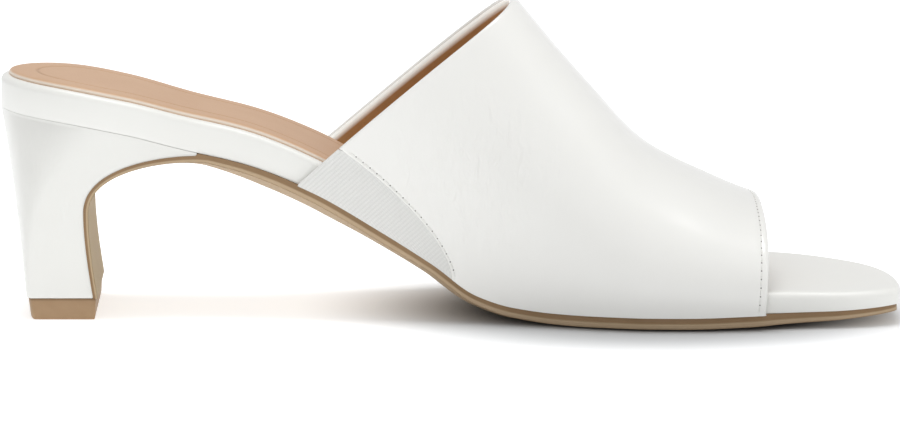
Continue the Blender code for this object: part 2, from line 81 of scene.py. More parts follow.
soft_light("light_above", (0.16, 0.06, 1.20), (0.12, 0.0, 0.0), (0.9, 0.22), 8.2)
soft_light("light_front", (0.05, -1.30, 0.35), (0.10, 0.0, 0.02), (1.2, 0.6), 2.3, mirrored=False)
soft_light("light_toe", (1.10, -0.50, 0.75), (0.12, 0.0, 0.03), (0.5, 0.7), 0.7)


def node(tree, kind, inputs=None, **settings):
    """Node of a material; each input gets a number or the output that feeds it."""
    made = tree.nodes.new("ShaderNode" + kind)
    for key, value in settings.items():
        setattr(made, key, value)
    for key, value in (inputs or {}).items():
        if isinstance(value, bpy.types.NodeSocket):
            tree.links.new(value, made.inputs[key])
        else:
            made.inputs[key].default_value = value
    return made


def ramp(tree, value, span, ends=(0.0, 1.0), **settings):
    """Straight ramp from one end to the other while a value crosses a span, and level outside it."""
    ramped = node(tree, "MapRange", {"Value": value, "From Min": span[0], "From Max": span[1],
                                     "To Min": ends[0], "To Max": ends[1]}, **settings)
    return ramped.outputs["Result"]


def blend(tree, factor, first, second):
    """Mix from a first colour to a second one; either is three numbers or the output that feeds it."""
    colours = [(*colour, 1) if isinstance(colour, tuple) else colour for colour in (first, second)]
    mixed = node(tree, "Mix", {"Factor": factor, "A": colours[0], "B": colours[1]}, data_type="RGBA")
    return mixed.outputs["Result"]


def noise(tree, place, scale, detail, **inputs):
    """Soft noise over a material's coordinates."""
    inputs = {"Vector": place, "Scale": scale, "Detail": detail, **inputs}
    return node(tree, "TexNoise", inputs).outputs["Fac"]


def calculate(tree, operation, first, second):
    """Sum or product of two values."""
    return node(tree, "Math", {0: first, 1: second}, operation=operation).outputs["Value"]


def finish_of(name, roughness, **sockets):
    """New material with its tree, its shader and its Object coordinates. Nothing on the shoe is metal.
    Further sockets of the shader are named with _ for a space."""
    material = bpy.data.materials.new(name)
    material.use_nodes = True
    tree = material.node_tree
    shader = tree.nodes["Principled BSDF"]
    shader.inputs["Roughness"].default_value = roughness
    shader.inputs["Metallic"].default_value = 0.0
    for socket, value in sockets.items():
        shader.inputs[socket.replace("_", " ")].default_value = value
    place = node(tree, "TexCoord").outputs["Object"]
    return material, tree, shader, place


# The surroundings are seen whiter than they light the shoe. Each strength runs from the camera's side to
# the far side, and from there to one value overhead.
FRONT_TO_FAR, LEVEL_TO_ABOVE = (-0.3, 0.7), (0.0, 0.6)
SEEN_LEVEL, SEEN_ABOVE = (0.50, 1.15), 0.52
LIGHTING_LEVEL, LIGHTING_ABOVE = (0.52, 0.80), 0.50

world = bpy.data.worlds.new("white_surroundings")
world.use_nodes = True
sky = world.node_tree
towards = node(sky, "SeparateXYZ", {"Vector": node(sky, "TexCoord").outputs["Generated"]}).outputs
level_seen = ramp(sky, towards["Y"], FRONT_TO_FAR, SEEN_LEVEL)
seen = ramp(sky, towards["Z"], LEVEL_TO_ABOVE, (level_seen, SEEN_ABOVE))
level_lighting = ramp(sky, towards["Y"], FRONT_TO_FAR, LIGHTING_LEVEL)
lighting = ramp(sky, towards["Z"], LEVEL_TO_ABOVE, (level_lighting, LIGHTING_ABOVE))
strength = node(sky, "Mix", {"Factor": node(sky, "LightPath").outputs["Is Camera Ray"],
                             "A": lighting, "B": seen}, data_type="FLOAT")
sky.nodes["Background"].inputs["Color"].default_value = (1.0, 1.0, 1.0, 1)
sky.links.new(strength.outputs["Result"], sky.nodes["Background"].inputs["Strength"])
bpy.context.scene.world = world

# The floor glows a little, so that it turns white away from the shoe. Round the ball it is painted grey and
# its glow fades out: a painted shadow under the forefoot.
FLOOR_REACH = 12.0
BALL_ON_FLOOR = (0.157, -0.005, 0.0)
SHADOW_FADES = (44 * MM, 98 * MM)
FLOOR_GLOW = 0.62

floor_mesh = bpy.data.meshes.new("floor")
corners = FLOOR_REACH * np.array([(-1, -1, 0), (1, -1, 0), (1, 1, 0), (-1, 1, 0)])
floor_mesh.from_pydata(corners.tolist(), [], [(0, 1, 2, 3)])
floor = bpy.data.objects.new("floor", floor_mesh)
bpy.context.scene.collection.objects.link(floor)
paper, tree, shader, place = finish_of("white_paper", 0.85, Emission_Color=(1.0, 1.0, 1.0, 1))
mottled = blend(tree, noise(tree, place, 6.0, 2.0), (0.70, 0.71, 0.72), (0.73, 0.74, 0.75))
# Painted shadow: round the ball the paper turns grey and stops glowing.
from_ball = node(tree, "VectorMath", {0: place, 1: BALL_ON_FLOOR}, operation="DISTANCE").outputs["Value"]
away = ramp(tree, from_ball, SHADOW_FADES, interpolation_type="SMOOTHSTEP")
tree.links.new(blend(tree, away, (0.43, 0.435, 0.44), mottled), shader.inputs["Base Color"])
tree.links.new(calculate(tree, "MULTIPLY", away, FLOOR_GLOW), shader.inputs["Emission Strength"])
floor_mesh.materials.append(paper)


# Footbed
# The insole board with its padding, wrapped in white leather that is turned under its edge. It carries the
# shoe's two leading lines, its fall from the seat to the ball and its plan.
LENGTH = 240 * MM
HEEL_CENTRE = 17.0 * MM     # middle of the heel's foot, which stands on the origin
GAP = 0.3 * MM              # clearance between two pieces that touch on the real shoe
SEAT_HEIGHT = 54.6 * MM
SEAT_WIDTH = 54 * MM
WAIST_WIDTH = 47.5 * MM
BALL_WIDTH = 82.5 * MM
TIP_INSIDE = 27 * MM        # how far the tip of the toe lies to the medial side of the centre line
TOE_SPRING = 1.75 * MM
TREAD_THICK = 3.6 * MM      # middle of the sole under the ball
BALL_HEIGHT = TREAD_THICK + GAP
BED_THICK = 8.8 * MM
BED_ROUND = 2 * MM
TURNED_UNDER = 0.25 * MM    # radius of the lower edge, where the leather turns under
WRAP_WAVE, WRAP_WAVE_LONG = 0.04 * MM, 14 * MM
CREASES_FADE = (6 * MM, 30 * MM)
MEDIAL, LATERAL = -1, 1

# Underside: share of the length, share of the fall from seat to ball, share of TOE_SPRING
PROFILE = np.array([
    # along, rise, spring
    (0.00, 1.0000, 0.00),
    (0.07, 0.9655, 0.00),
    (0.14, 0.9040, 0.00),
    (0.21, 0.8130, 0.00),
    (0.28, 0.7290, 0.00),
    (0.35, 0.5960, 0.00),
    (0.42, 0.4080, 0.00),
    (0.48, 0.2320, 0.00),
    (0.53, 0.0720, 0.00),
    (0.57, 0.0200, 0.00),
    (0.62, 0.0015, 0.00),
    (0.65, 0.0000, 0.00),
    (0.75, 0.0000, 0.00),
    (0.85, 0.0000, 0.25),
    (0.92, 0.0000, 0.36),
    (1.00, 0.0000, 1.00),
])

# Plan: share of the length, a width, the shares of it on either side of the centre line
PLAN = np.array([
    # along, width, medial, lateral
    (0.0000, SEAT_WIDTH, 0.500, 0.500),
    (0.1125, SEAT_WIDTH, 0.500, 0.500),
    (0.1670, SEAT_WIDTH, 0.472, 0.490),
    (0.2500, WAIST_WIDTH, 0.463, 0.537),
    (0.3500, WAIST_WIDTH, 0.487, 0.600),
    (0.4800, WAIST_WIDTH, 0.552, 0.690),
    (0.5400, BALL_WIDTH, 0.357, 0.430),
    (0.6040, BALL_WIDTH, 0.430, 0.455),
    (0.6670, BALL_WIDTH, 0.503, 0.460),
    (0.7200, BALL_WIDTH, 0.540, 0.460),
    (0.7700, BALL_WIDTH, 0.545, 0.455),
    (0.8550, BALL_WIDTH, 0.515, 0.424),
    (0.8960, BALL_WIDTH, 0.495, 0.410),
    (1.0000, BALL_WIDTH, 0.467, 0.364),
])
TOE_ROUNDING = {MEDIAL: (0.896, 3.0), LATERAL: (0.842, 2.45)}

# Thickness: share of the length, share of BED_THICK
BED = np.array([
    # along, thick
    (0.00, 1.00),
    (0.48, 1.00),
    (0.62, 0.84),
    (0.85, 0.66),
    (1.00, 0.48),
])


def through(table, column, at):
    """Cubic curve through a table's rows, with harmonic mean slopes, so that it never overshoots."""
    stations, values = table[:, 0], table[:, column]
    step = np.diff(stations)
    slope = np.diff(values) / step
    before, after = slope[:-1], slope[1:]
    one_way = before * after > 0
    tangent = np.concatenate([slope[:1], np.zeros(len(slope) - 1), slope[-1:]])
    tangent[1:-1][one_way] = 2 * before[one_way] * after[one_way] / (before + after)[one_way]
    row = np.clip(np.searchsorted(stations, at, side="right") - 1, 0, len(step) - 1)
    t = np.clip((at - stations[row]) / step[row], 0, 1)
    ends = values[row] * (1 + 2 * t) * (1 - t) ** 2 + values[row + 1] * t * t * (3 - 2 * t)
    return ends + step[row] * t * (1 - t) * (tangent[row] * (1 - t) - tangent[row + 1] * t)


def bed_under(x):
    """Height of the underside: the ball's, plus a share of the fall, plus a share of the toe spring."""
    rise = through(PROFILE, 1, x / LENGTH) * (SEAT_HEIGHT - BALL_HEIGHT)
    return BALL_HEIGHT + rise + through(PROFILE, 2, x / LENGTH) * TOE_SPRING


def bed_top(x):
    """Height of the top face: the underside's plus the thickness there."""
    return bed_under(x) + through(BED, 1, x / LENGTH) * BED_THICK


def straight_side(x, side):
    """Half width before the seat and the toe are rounded: a share of the width of each station."""
    widths = np.column_stack([PLAN[:, 0], PLAN[:, 1] * PLAN[:, 2 if side == MEDIAL else 3]])
    return through(widths, 1, x / LENGTH)


def half_width(x, side, grow):
    """Centre line to edge: the straight side, times a circle's arc at the seat, and drawn in to the tip by
    a superellipse at the toe."""
    seat = SEAT_WIDTH / 2
    back = np.clip((seat - x) / (seat + grow), 0, 1)
    wide = (straight_side(x, side) + grow) * np.sqrt(1 - back ** 2)
    start, square = TOE_ROUNDING[side]
    toe = np.clip((x - start * LENGTH) / (LENGTH + grow - start * LENGTH), 0, 1)
    tip = -side * TIP_INSIDE
    return tip + (wide - tip) * (1 - toe ** square) ** (1 / square)


def plan_loop(end, grow, end_round=None):
    """Closed outline of the plan (point, xy), medial side first: stepped by angle round the seat and the
    front end, and evenly along the sides. The front end is the toe's, or else an ellipse of a depth."""
    seat = SEAT_WIDTH / 2
    angle = np.linspace(0, np.pi / 2, 40)
    halves = []
    for side in (MEDIAL, LATERAL):
        if end_round is None:
            start, square = TOE_ROUNDING[side]
            start = start * LENGTH
        else:
            start, square = end - end_round, 2
        back = seat - (seat + grow) * np.cos(angle)
        middle = np.linspace(seat, start, 150)[1:-1]
        front = start + (end - start) * np.sin(angle) ** (2 / square)
        x = np.concatenate([back, middle, front])
        y = side * half_width(x, side, grow)
        if end_round is not None:
            y = y * np.concatenate([np.ones(len(back) + len(middle)), np.cos(angle)])
        halves.append(np.column_stack([x, y]))
    medial, lateral = halves
    return np.concatenate([medial, lateral[-2:0:-1]])


def inset(loop, distance):
    """Loop moved inwards along its own normals."""
    along = np.roll(loop, -1, 0) - np.roll(loop, 1, 0)
    inward = np.column_stack([-along[:, 1], along[:, 0]])
    inward /= np.linalg.norm(inward, axis=1, keepdims=True)
    return loop + inward * np.reshape(distance, (-1, 1))


def spine_of(loop):
    """Middle line between the two sides of a loop, kept clear of its two round ends."""
    half = len(loop) // 2
    partner = (-np.arange(len(loop))) % len(loop)
    middle = (loop + loop[partner]) / 2
    x = np.clip(middle[:, 0], loop[0, 0] + 0.3 * SEAT_WIDTH, loop[half, 0] - 0.3 * SEAT_WIDTH)
    return np.column_stack([x, np.interp(x, middle[:half + 1, 0], middle[:half + 1, 1])])


def ripple(points, size, seed):
    """Gentle unevenness from -1 to 1: the mean of twelve sine waves of set directions and phases, each about
    as long as the size given."""
    draw = np.random.default_rng(seed)
    direction = draw.normal(size=(12, points.shape[-1]))
    direction /= np.linalg.norm(direction, axis=1, keepdims=True)
    waves = 2 * np.pi / (size * draw.uniform(0.6, 1.6, 12))
    phase = draw.uniform(0, 2 * np.pi, 12)
    return np.sin(points @ (direction * waves[:, None]).T + phase).mean(-1)


def grid_faces(rows, columns, closed=False, first=0):
    """Quads of a grid of points numbered row by row. A closed grid joins its last column to its first."""
    index = first + np.arange(rows * columns).reshape(rows, columns)
    if closed:
        index = np.concatenate([index, index[:, :1]], 1)
    return np.stack([index[:-1, :-1], index[:-1, 1:], index[1:, 1:], index[1:, :-1]], -1).reshape(-1, 4)


def bumps(tree, shader, height, strength, distance, over=None):
    """Fine relief of a material, from a height; it may lie over another relief."""
    inputs = {"Height": height, "Strength": strength, "Distance": distance}
    if over:
        inputs["Normal"] = over
    relief = node(tree, "Bump", inputs).outputs["Normal"]
    tree.links.new(relief, shader.inputs["Normal"])
    return relief


def make_piece(name, points, faces, material, stands_for=None, marks=None, crease=40):
    """Shown piece on the shoe's one body, from points and faces. Points that meet are welded, faces turned
    outwards, and marks are further values that the material reads from the points."""
    mesh = bpy.data.meshes.new(name)
    placed = points.reshape(-1, 3) - [HEEL_CENTRE, 0, 0]
    mesh.from_pydata(placed.tolist(), [], [list(face) for face in faces])
    for mark, values in (marks or {}).items():
        layer = mesh.attributes.new(mark, "FLOAT", "POINT")
        layer.data.foreach_set("value", np.ascontiguousarray(values, np.float32).ravel())
    shape = bmesh.new()
    shape.from_mesh(mesh)
    bmesh.ops.remove_doubles(shape, verts=shape.verts, dist=1e-6)
    bmesh.ops.recalc_face_normals(shape, faces=shape.faces)
    shape.to_mesh(mesh)
    shape.free()
    mesh.shade_smooth()
    mesh.set_sharp_from_angle(angle=np.radians(crease))
    mesh.materials.append(material)
    piece = bpy.data.objects.new(name, mesh)
    bpy.context.scene.collection.objects.link(piece)
    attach(piece, "root")
    if stands_for:
        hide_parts(stands_for)


def white_leather(name, colour, mottle_colour, roughness, coat, creases=0.0, centre=None):
    """Smooth leather under a clear coat: a faint warm mottle, uneven gloss, fine pores, and hair creases
    that fade away from a centre."""
    leather, tree, shader, place = finish_of(name, roughness, Coat_Weight=coat, Coat_Roughness=0.16,
                                             Sheen_Weight=0.05, Sheen_Roughness=0.4)
    tone = blend(tree, noise(tree, place, 38.0, 3.0), mottle_colour, colour)
    tree.links.new(tone, shader.inputs["Base Color"])
    rough = (roughness - 0.012, roughness + 0.018)
    gloss = ramp(tree, noise(tree, place, 160.0, 4.0), (0.3, 0.7), rough)
    tree.links.new(gloss, shader.inputs["Roughness"])
    pores = node(tree, "TexVoronoi", {"Vector": place, "Scale": 1500.0}, feature="SMOOTH_F1")
    grain = calculate(tree, "ADD", pores.outputs["Distance"], noise(tree, place, 420.0, 3.0, Roughness=0.6))
    relief = bumps(tree, shader, grain, 0.006, 0.4 * MM)
    if creases:
        away = node(tree, "VectorMath", {0: place, 1: centre}, operation="DISTANCE").outputs["Value"]
        near = ramp(tree, away, CREASES_FADE, (1.0, 0.0))
        drawn_out = node(tree, "Mapping", {"Vector": place, "Rotation": (0.0, -0.35, 0.0),
                                           "Scale": (1.0, 1.0, 0.28)}).outputs["Vector"]
        folds = calculate(tree, "MULTIPLY", noise(tree, drawn_out, 420.0, 2.0, Distortion=1.2), near)
        bumps(tree, shader, folds, creases, 0.6 * MM, over=relief)
    return leather


bed_loop = plan_loop(LENGTH, 0.0)
bed_spine = spine_of(bed_loop)
side_wave = WRAP_WAVE * ripple(bed_loop, WRAP_WAVE_LONG, 4)
rows = [(bed_spine, bed_under, 0), ((bed_spine + bed_loop) / 2, bed_under, 0)]
rows += [(inset(bed_loop, inwards * TURNED_UNDER), bed_under, up * TURNED_UNDER)
         for inwards, up in ((1.0, 0.0), (0.2, 0.32), (0.0, 1.0))]
for angle in np.linspace(0, np.pi / 2, 10):
    lean = side_wave * (1 - np.sin(angle))
    rows.append((inset(bed_loop, BED_ROUND * (1 - np.cos(angle)) + lean), bed_top,
                 -BED_ROUND * (1 - np.sin(angle))))
crest = rows[-1][0]
rows += [(crest + (bed_spine - crest) * share, bed_top, 0) for share in (0.1, 0.25, 0.4, 0.6, 0.8, 1.0)]
rings = np.array([np.column_stack([plan, height(plan[:, 0]) + lift]) for plan, height, lift in rows])
bed_white = white_leather("footbed_leather", (0.82, 0.82, 0.79), (0.805, 0.803, 0.77), 0.38, 0.08)
make_piece("footbed_cover", rings, grid_faces(*rings.shape[:2], closed=True), bed_white,
           "footbed")


# Sock
# The tan leather insole that is glued on the footbed from the seat to under the vamp. A line is pressed
# into it, well inside its cut edge, which is painted pale as a highlight along the rim.
SOCK_THICK = 1.2 * MM
SOCK_INSET = 2.2 * MM
SOCK_LENGTH = 158 * MM
SOCK_END = 12 * MM
PRESSED_IN = 7.5 * MM
PRESSED_WIDE = 0.45 * MM
PRESSED_DEEP = 0.28 * MM
SOCK_SUNK = 0.05 * MM       # how far its underside, out of sight, lies in the footbed

# Rounded edge: distance in from the edge, depth below the top face
SOCK_ROUND = np.array([
    # in, below
    (0.00, 0.85),
    (0.15, 0.60),
    (0.50, 0.32),
    (1.00, 0.14),
    (2.00, 0.03),
]) * MM


def marked(tree, name):
    """Value that a mesh holds at its points, for its material."""
    return node(tree, "Attribute", attribute_name=name).outputs["Fac"]


def tan_grain(tree, shader, place, scale, strength, more=None):
    """Pores of bare tan leather, as the distance to the edges of small cells, with a finer height added."""
    pores = node(tree, "TexVoronoi", {"Vector": place, "Scale": scale}, feature="DISTANCE_TO_EDGE")
    height = pores.outputs["Distance"]
    if more:
        height = calculate(tree, "ADD", height, more)
    bumps(tree, shader, height, strength, 0.4 * MM)


sock_loop = plan_loop(SOCK_LENGTH, -SOCK_INSET, SOCK_END)
sock_spine = spine_of(sock_loop)
by_line = np.concatenate([[-3.5, -2.0, -1.2], np.linspace(-0.8, 0.8, 13), [1.3, 2.0]]) * MM
plans = [inset(sock_loop, distance) for distance in (*SOCK_ROUND[:, 0], *(PRESSED_IN + by_line))]
plans += [plans[-1] + (sock_spine - plans[-1]) * share for share in (0.25, 0.5, 0.75, 1.0)]
plans = [sock_spine, sock_loop, *plans]
pressed, edge, below = np.zeros((3, len(plans)))
pressed[-len(by_line) - 4:-4] = np.exp(-(by_line / PRESSED_WIDE) ** 2)
edge[2:4] = 1.0, 0.6
below[:2] = GAP + SOCK_THICK + SOCK_SUNK
below[2:2 + len(SOCK_ROUND)] = SOCK_ROUND[:, 1]
below += PRESSED_DEEP * pressed
rings = np.array([np.column_stack([plan, bed_top(plan[:, 0]) + GAP + SOCK_THICK - depth])
                  for plan, depth in zip(plans, below)])
pressed, edge = (np.repeat(values[:, None], len(sock_loop), 1) for values in (pressed, edge))

sock_tan, tree, shader, place = finish_of("sock_leather", 0.55, Sheen_Weight=0.12, Sheen_Roughness=0.5)
tone = blend(tree, noise(tree, place, 55.0, 5.0, Roughness=0.6), (0.52, 0.305, 0.17), (0.60, 0.385, 0.235))
with_line = blend(tree, marked(tree, "pressed"), tone, (0.46, 0.285, 0.165))
# Painted highlight: the rounded cut edge is coloured pale, standing for light along the rim.
with_edge_highlight = blend(tree, marked(tree, "edge"), with_line, (0.80, 0.72, 0.62))
tree.links.new(with_edge_highlight, shader.inputs["Base Color"])
tan_grain(tree, shader, place, 1100.0, 0.18, more=noise(tree, place, 700.0, 4.0))
make_piece("sock_leather", rings, grid_faces(*rings.shape[:2], closed=True), sock_tan, "sock",
           marks={"pressed": pressed, "edge": edge})


# Vamp
# One wide piece of pearly white leather from the collar to the open toe, lasted under the footbed. Its
# edges are folded over, and the front edge is stitched.
WALL = 1.8 * MM
INSTEP_HEIGHT = 84 * MM
COLLAR_FOOT = 79.6 * MM
COLLAR_TOP = 137 * MM
COLLAR_BOW = 1.3 * MM
LATERAL_DIP = 1.7 * MM
TOE_EDGE = 204.4 * MM
TOE_EDGE_BACK = 1.2 * MM
TOE_EDGE_BEND = 9
TOE_EDGE_SLANT = 5 * MM
SLANT_FROM, SLANT_TO = 1.45, 2.4    # angles over the vamp
TOE_EDGE_TUCK = 0.8 * MM
MEDIAL_BULGE = 2 * MM
LATERAL_BULGE = 2.5 * MM
RIDGE_INSIDE = 8 * MM
GORE_TOP = 90.6 * MM
GORE_FOOT = 120.4 * MM
SEAM_BEND = 1.6
FRONT_STITCH = 2.0 * MM
SEAM_STITCH = 1.5 * MM
GROOVE_DEEP = 0.14 * MM     # under each row of stitches
GROOVE_WIDE = 0.35 * MM
LONG_WAVE, LONG_WAVE_HIGH = 24 * MM, 0.10 * MM
SHORT_WAVE, SHORT_WAVE_HIGH = 7 * MM, 0.03 * MM
PUCKER_HIGH, PUCKER_REACH = 0.05 * MM, 6 * MM
CALM_EDGE = 3 * MM          # where the waves fade out beside the edges
SEAM_POINTS, COLLAR_POINTS = 60, 220

# Ridge: share of the length, share of INSTEP_HEIGHT
RIDGE = np.array([
    # along, height
    (0.300, 1.660),
    (0.400, 1.450),
    (0.500, 1.200),
    (0.571, 1.000),
    (0.622, 0.827),
    (0.667, 0.683),
    (0.689, 0.612),
    (0.712, 0.548),
    (0.734, 0.506),
    (0.779, 0.442),
    (0.837, 0.373),
    (0.875, 0.345),
])

# Fullness: share of the length, squareness of the arch, shares of its bulge and of RIDGE_INSIDE
FULLNESS = np.array([
    # along, square, bulge, ridge
    (0.33, 2.60, 1.00, 0.50),
    (0.57, 2.60, 1.00, 0.50),
    (0.70, 2.45, 0.90, 0.85),
    (0.88, 2.40, 0.70, 1.00),
])


def vamp_face(x, turn):
    """Outer face at a distance along the shoe and an angle over it: half a superellipse from sole to sole,
    its ridge set to the medial side, and each side bulged by a parabola of its height."""
    square = through(FULLNESS, 1, x / LENGTH)
    up = np.sin(turn) ** (2 / square)
    out = np.abs(np.cos(turn)) ** (2 / square)
    side = np.where(turn < np.pi / 2, MEDIAL, LATERAL)
    base = bed_under(x)
    z = base + (through(RIDGE, 1, x / LENGTH) * INSTEP_HEIGHT - base) * up
    ridge = -RIDGE_INSIDE * through(FULLNESS, 3, x / LENGTH)
    edge = np.where(side == MEDIAL, half_width(x, MEDIAL, GAP + WALL), half_width(x, LATERAL, GAP + WALL))
    bulge = np.where(side == MEDIAL, MEDIAL_BULGE, LATERAL_BULGE) * through(FULLNESS, 2, x / LENGTH)
    y = ridge + side * ((edge - side * ridge) * out + bulge * 4 * up * (1 - up))
    return np.stack([x, y, z], -1)


def below_face(x, turn, depth):
    """Points a depth inside the outer face along its normal, level with the sole along its lower edges."""
    step_x, step_turn = 0.1 * MM, 0.002
    ahead = vamp_face(x + step_x, turn) - vamp_face(x - step_x, turn)
    over = (vamp_face(x, np.clip(turn + step_turn, 0, np.pi))
            - vamp_face(x, np.clip(turn - step_turn, 0, np.pi)))
    normal = np.cross(ahead, over)
    normal /= np.linalg.norm(normal, axis=-1, keepdims=True)
    points = vamp_face(x, turn) - normal * np.asarray(depth)[..., None]
    foot = (turn <= 0) | (turn >= np.pi)
    sole_line = bed_under(x) - GAP * foot
    points[..., 2] = np.where(foot, sole_line, np.maximum(points[..., 2], sole_line))
    points[..., 0] = np.where(foot, x, points[..., 0])
    return points


def turn_at(x, z):
    """Angle over the vamp, on the medial side, at which its face reaches a height."""
    base = bed_under(x)
    up = np.clip((z - base) / (through(RIDGE, 1, x / LENGTH) * INSTEP_HEIGHT - base), 0, 1)
    return np.arcsin(up ** (through(FULLNESS, 1, x / LENGTH) / 2))


def collar_height(x, side):
    """Height of the collar line: straight from the sole to the ridge, bowed up by a parabola."""
    share = (x - COLLAR_FOOT) / (COLLAR_TOP - COLLAR_FOOT)
    foot = bed_under(COLLAR_FOOT)
    top = through(RIDGE, 1, COLLAR_TOP / LENGTH) * INSTEP_HEIGHT
    bow = COLLAR_BOW - (LATERAL_DIP if side == LATERAL else 0)
    return foot + (top - foot) * share + bow * 4 * share * (1 - share)


def seam(share):
    """Gore's seam at shares of its height: from the sole back to the collar line along a power curve."""
    top = collar_height(GORE_TOP, MEDIAL)
    foot = bed_under(GORE_FOOT)
    x = GORE_TOP + (GORE_FOOT - GORE_TOP) * (1 - share ** SEAM_BEND)
    return x, turn_at(x, foot + (top - foot) * share)


def evenly(x, turn, count):
    """Curve on the vamp, given as places and angles, resampled into points an equal distance apart."""
    run = np.linalg.norm(np.diff(vamp_face(x, turn), axis=0), axis=1)
    run = np.concatenate([[0], np.cumsum(run)])
    at = np.linspace(0, run[-1], count)
    return np.interp(at, run, x), np.interp(at, run, turn)


def vamp_edges():
    """Rear edge (the gore's seam, then the collar line) and front edge, as equally many places and angles.
    The front edge swings back by a power of the height, slants by a smooth step and tucks in by a cube."""
    sweep = np.sin(np.linspace(0, np.pi / 2, 200))
    medial = GORE_TOP + (COLLAR_TOP - GORE_TOP) * sweep
    lateral = (COLLAR_FOOT + (COLLAR_TOP - COLLAR_FOOT) * sweep)[-2::-1]
    collar_x = np.concatenate([medial, lateral])
    collar_turn = np.concatenate([turn_at(medial, collar_height(medial, MEDIAL)),
                                  np.pi - turn_at(lateral, collar_height(lateral, LATERAL))])
    seam_part = evenly(*seam(np.linspace(0, 1, 200)), SEAM_POINTS)
    collar_part = evenly(collar_x, collar_turn, COLLAR_POINTS)
    rear = [np.concatenate([a[:-1], b]) for a, b in zip(seam_part, collar_part)]
    over = np.linspace(0, np.pi, 600)
    up = np.sin(over) ** (2 / FULLNESS[-1, 1])
    slant = np.clip((over - SLANT_FROM) / (SLANT_TO - SLANT_FROM), 0, 1)
    slant = TOE_EDGE_SLANT * slant * slant * (3 - 2 * slant)
    tuck = TOE_EDGE_TUCK * (1 - up) ** 3
    front = evenly(TOE_EDGE - TOE_EDGE_BACK * up ** TOE_EDGE_BEND - slant - tuck, over, len(rear[0]))
    return rear, front


def places_between(rear, front, from_rear, from_front, middle):
    """Places and angles on lines from the rear to the front edge: at set distances from either edge, and
    evenly in between. Also their distances from both edges."""
    def at(share):
        grid = [a[:, None] * (1 - share) + b[:, None] * share for a, b in zip(rear, front)]
        grid[1][0], grid[1][-1] = 0, np.pi
        return grid
    nudge = 0.01
    one = np.ones((len(rear[0]), 1))
    ends = [np.linalg.norm(vamp_face(*at(one * b)) - vamp_face(*at(one * a)), axis=-1) / nudge
            for a, b in ((0, nudge), (1 - nudge, 1))]
    rear_share = from_rear[None] / ends[0]
    front_share = 1 - from_front[None] / ends[1]
    step = np.linspace(0, 1, middle + 2)[1:-1]
    inner = rear_share[:, -1:] * (1 - step) + front_share[:, -1:] * step
    share = np.concatenate([rear_share, inner, front_share[:, ::-1]], 1)
    x, turn = at(share)
    length = np.linalg.norm(np.diff(vamp_face(x, turn), axis=1), axis=-1)
    run = np.concatenate([0 * one, np.cumsum(length, 1)], 1) + from_rear[0]
    return x, turn, run, run[:, -1:] + from_front[0] - run


def folded_shell(rear, front, rear_in, front_in, top, bottom, steps, middle, relief=None):
    """Wall with two folded edges: each line from rear to front runs out over the top face, turns by half a
    circle, and comes back over the bottom face. Top and bottom are depths below the vamp's face. Returns
    the points, the faces and each point's distance from the rear edge."""
    radius = (bottom - top) / 2
    bend = np.linspace(0, np.pi / 2, 7)
    edge = radius * (1 - np.cos(bend))
    from_rear = rear_in + np.concatenate([edge, edge[-1] + steps])
    from_front = front_in + np.concatenate([edge, edge[-1] + steps])
    x, turn, to_rear, to_front = places_between(rear, front, from_rear, from_front, middle)
    rounded = np.zeros(x.shape[1])
    rounded[:len(bend)] = radius * (1 - np.sin(bend))
    rounded[-len(bend):] = radius * (1 - np.sin(bend))[::-1]
    rise = 0 if relief is None else relief(x, turn, to_rear, to_front)
    outer = below_face(x, turn, top + rounded - rise)
    inner = below_face(x, turn, bottom - rounded + 0 * x)
    ring = np.concatenate([outer, inner[:, -2:0:-1]], 1)
    lines, around = ring.shape[:2]
    columns = x.shape[1]
    faces = grid_faces(lines, around, closed=True).tolist()
    back = around - np.arange(1, columns - 1)
    for row, order in ((0, 1), (lines - 1, -1)):
        near = row * around + np.arange(columns)
        far = row * around + np.concatenate([[0], back, [columns - 1]])
        faces += np.stack([near[:-1], near[1:], far[1:], far[:-1]], -1)[:, ::order].tolist()
    distance = np.concatenate([to_rear, to_rear[:, -2:0:-1]], 1)
    # Where a strip over an end starts or stops, its face has a corner twice, which is dropped.
    return ring, [[c for i, c in enumerate(face) if c not in face[:i]] for face in faces], distance


def vamp_relief(x, turn, to_rear, to_front):
    """Height of the vamp's outer face above its plain shape: a groove under each row of stitches, soft
    waves in the leather, and short puckers that fade away from the gore's seam."""
    groove = np.exp(-((to_front - FRONT_STITCH) / GROOVE_WIDE) ** 2)
    row = np.arange(len(x))[:, None]
    on_seam = np.clip((SEAM_POINTS - 1 - row) / 4, 0, 1)
    groove = groove + on_seam * np.exp(-((to_rear - SEAM_STITCH) / GROOVE_WIDE) ** 2)
    face = vamp_face(x, turn)
    waves = LONG_WAVE_HIGH * ripple(face, LONG_WAVE, 11) + SHORT_WAVE_HIGH * ripple(face, SHORT_WAVE, 12)
    pucker = PUCKER_HIGH * np.sin(row * 0.9) * np.exp(-to_rear / PUCKER_REACH) * on_seam
    calm = np.clip(np.minimum(to_rear, to_front) / CALM_EDGE, 0, 1)
    return -GROOVE_DEEP * groove + (waves + pucker) * calm


rear_edge, front_edge = vamp_edges()
steps = np.array([0.25, 0.45, 0.65, 0.85, 1.1, 1.5, 2.2, 3.2, 4.5]) * MM
ring, faces, _ = folded_shell(rear_edge, front_edge, 0.0, 0.0, 0.0, WALL, steps, 78, vamp_relief)
vamp_white = white_leather("vamp_leather", (0.835, 0.832, 0.805), (0.82, 0.815, 0.785), 0.32, 0.55,
                           creases=0.80, centre=(0.108, -0.035, 0.040))
make_piece("vamp_leather", ring, faces, vamp_white, "upper")

# The tan lining starts inside the topline and ends before the toe edge. Along the topline it is a white
# hem that fades softly into the tan, the fade partly painted shade, and it glows faintly: painted light on
# the hem.
LINING_IN = 0.6 * MM
LINING_FRONT = 3.0 * MM
LINING_THICK = 0.12 * MM
LINING_SUNK = 0.05 * MM     # how far its back lies in the vamp's wall
HEM_FADES = (1.1 * MM, 2.9 * MM)
HEM_PAINTED_LIGHT = 0.40

